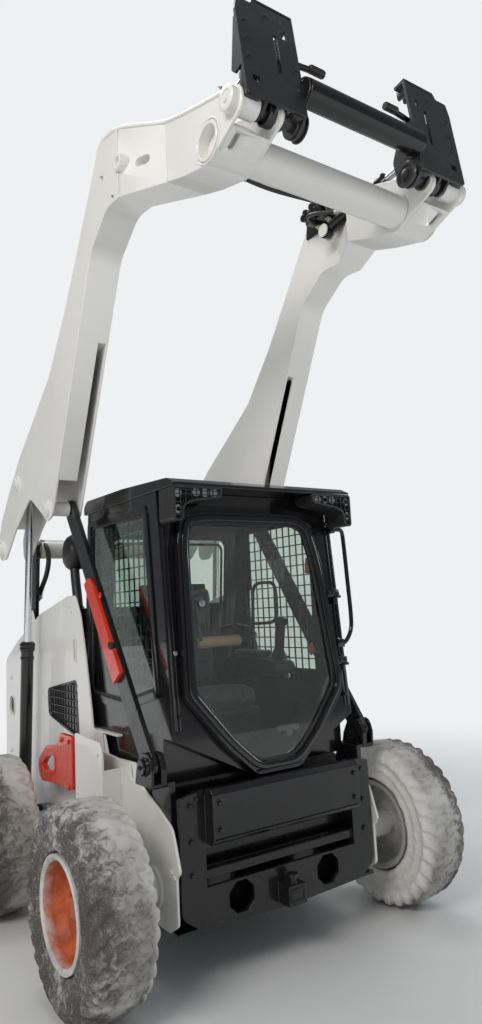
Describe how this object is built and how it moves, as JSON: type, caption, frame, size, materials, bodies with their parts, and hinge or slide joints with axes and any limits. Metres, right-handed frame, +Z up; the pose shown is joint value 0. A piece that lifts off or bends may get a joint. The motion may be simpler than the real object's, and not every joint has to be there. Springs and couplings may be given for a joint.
{
  "type": "skid steer loader",
  "caption": "Skid steer loader with enclosed cab, vertical-lift arms on links and hydraulic cylinders, a quick tool carrier, block-tread wheels and hinged front door and tailgate.",
  "frame": {"origin": "on the ground below the middle of the whole machine with its arms raised", "axes": "+X to the machine's left, -Y to its front, +Z up"},
  "size_m": [1.96, 3.238, 3.7938],
  "materials": {
    "white_paint": "gloss",
    "black_paint": "satin",
    "cab_paint": "gloss",
    "red_paint": "satin",
    "carrier_paint": "worn",
    "rim_paint": "worn",
    "black_plastic": "matte",
    "lamp_glass": "clear",
    "tinted_glass": "tinted",
    "door_glass": "clear",
    "seat_fabric": "woven",
    "dark_iron": "rough",
    "chrome_rod": "polished",
    "tyre": "worn"
  },
  "bodies": {
    "frame": {"frame_sides": "white_paint", "frame_tub": "black_paint", "axle_tubes": "white_paint", "front_plate": "black_paint", "bumper_box": "black_paint", "link_brackets": "black_paint", "tie_down_hooks": "red_paint", "cab_shell": "cab_paint", "cab_roof": "cab_paint", "lamp_housings": "black_plastic", "lamp_lenses": "lamp_glass", "cab_glass": "tinted_glass", "window_guards": "black_paint", "seat": "seat_fabric", "consoles": "black_plastic", "grab_bar": "cab_paint", "engine_block": "dark_iron", "engine_hood": "black_paint", "tower_grilles": "black_paint", "air_duct": "black_plastic", "rear_bumper": "black_paint"},
    "front_door": {"door_frame": "cab_paint", "door_glass": "door_glass"},
    "tailgate_panel": {"tailgate": "black_paint"},
    "lift_arm": {"arm_uprights": "white_paint", "arm_noses": "white_paint", "cross_tubes": "white_paint"},
    "links": {"control_links": "black_paint", "arm_support": "red_paint"},
    "rear_link_pair": {"rear_links": "black_paint"},
    "lift_cylinder_barrels": {"lift_barrels": "black_paint"},
    "lift_cylinder_rods": {"lift_rods": "chrome_rod"},
    "tilt_cylinder_barrels": {"tilt_barrels": "black_paint"},
    "tilt_cylinder_rods": {"tilt_rods": "chrome_rod"},
    "tool_carrier": {"carrier_plates": "carrier_paint", "carrier_frame": "black_paint", "lock_levers": "black_paint"},
    "front_left_wheel": {"front_left_tyre": "tyre", "front_left_rim": "rim_paint"},
    "front_right_wheel": {"front_right_tyre": "tyre", "front_right_rim": "rim_paint"},
    "rear_left_wheel": {"rear_left_tyre": "tyre", "rear_left_rim": "rim_paint"},
    "rear_right_wheel": {"rear_right_tyre": "tyre", "rear_right_rim": "rim_paint"}
  },
  "joints": [
    {"name": "link_swing", "type": "hinge", "parent": "frame", "child": "links", "pos_m": [0, -0.655, 0.9], "axis": [1, 0, 0], "range_deg": [-53.8, 0]},
    {"name": "arm_swing", "type": "hinge", "parent": "links", "child": "lift_arm", "pos_m": [0, 0.18, 2.09], "axis": [1, 0, 0], "range_deg": [0, 105.65]},
    {"name": "rear_link_swing", "type": "hinge", "parent": "lift_arm", "child": "rear_link_pair", "pos_m": [0, 0.975, 1.955], "axis": [1, 0, 0], "range_deg": [-163.1, 0]},
    {"name": "lift_cylinder_swing", "type": "hinge", "parent": "frame", "child": "lift_cylinder_barrels", "pos_m": [0, 0.845, 0.42], "axis": [1, 0, 0], "range_deg": [-9.98, 0]},
    {"name": "lift_cylinder_stroke", "type": "slide", "parent": "lift_cylinder_barrels", "child": "lift_cylinder_rods", "axis": [0, -0.0896, 0.996], "range_m": [-0.86044, 0]},
    {"name": "carrier_tilt", "type": "hinge", "parent": "lift_arm", "child": "tool_carrier", "pos_m": [0, -1.505, 3.34], "axis": [1, 0, 0], "range_deg": [-42, 42]},
    {"name": "tilt_cylinder_swing", "type": "hinge", "parent": "lift_arm", "child": "tilt_cylinder_barrels", "pos_m": [0, -0.795, 3.47], "axis": [1, 0, 0], "range_deg": [-1.31, 1.31]},
    {"name": "tilt_cylinder_stroke", "type": "slide", "parent": "tilt_cylinder_barrels", "child": "tilt_cylinder_rods", "axis": [0, -0.9927, 0.1203], "range_m": [-0.14208, 0.14208]},
    {"name": "front_door_hinge", "type": "hinge", "parent": "frame", "child": "front_door", "pos_m": [0.452, -0.70283, 1.25048], "axis": [0, 0.0802, 0.9968], "range_deg": [0, 70]},
    {"name": "tailgate_hinge", "type": "hinge", "parent": "frame", "child": "tailgate_panel", "pos_m": [0.527, 1.521, 0.9], "axis": [0, 0, 1], "range_deg": [-100, 0]},
    {"name": "front_left_roll", "type": "hinge", "parent": "frame", "child": "front_left_wheel", "pos_m": [0.837, -0.575, 0.4], "axis": [1, 0, 0], "continuous": true},
    {"name": "front_right_roll", "type": "hinge", "parent": "frame", "child": "front_right_wheel", "pos_m": [-0.837, -0.575, 0.4], "axis": [1, 0, 0], "continuous": true},
    {"name": "rear_left_roll", "type": "hinge", "parent": "frame", "child": "rear_left_wheel", "pos_m": [0.837, 0.705, 0.4], "axis": [1, 0, 0], "continuous": true},
    {"name": "rear_right_roll", "type": "hinge", "parent": "frame", "child": "rear_right_wheel", "pos_m": [-0.837, 0.705, 0.4], "axis": [1, 0, 0], "continuous": true}
  ],
  "couplings": [
    {"joint": "arm_swing", "follows": "link_swing", "ratio": -1.9628},
    {"joint": "rear_link_swing", "follows": "link_swing", "ratio": 3.0307},
    {"joint": "lift_cylinder_swing", "follows": "link_swing", "ratio": 0.1846},
    {"joint": "lift_cylinder_stroke", "follows": "link_swing", "m_per_rad": 0.91582},
    {"joint": "tilt_cylinder_swing", "follows": "carrier_tilt", "ratio": -0.03},
    {"joint": "tilt_cylinder_stroke", "follows": "carrier_tilt", "m_per_rad": 0.19314}
  ]
}
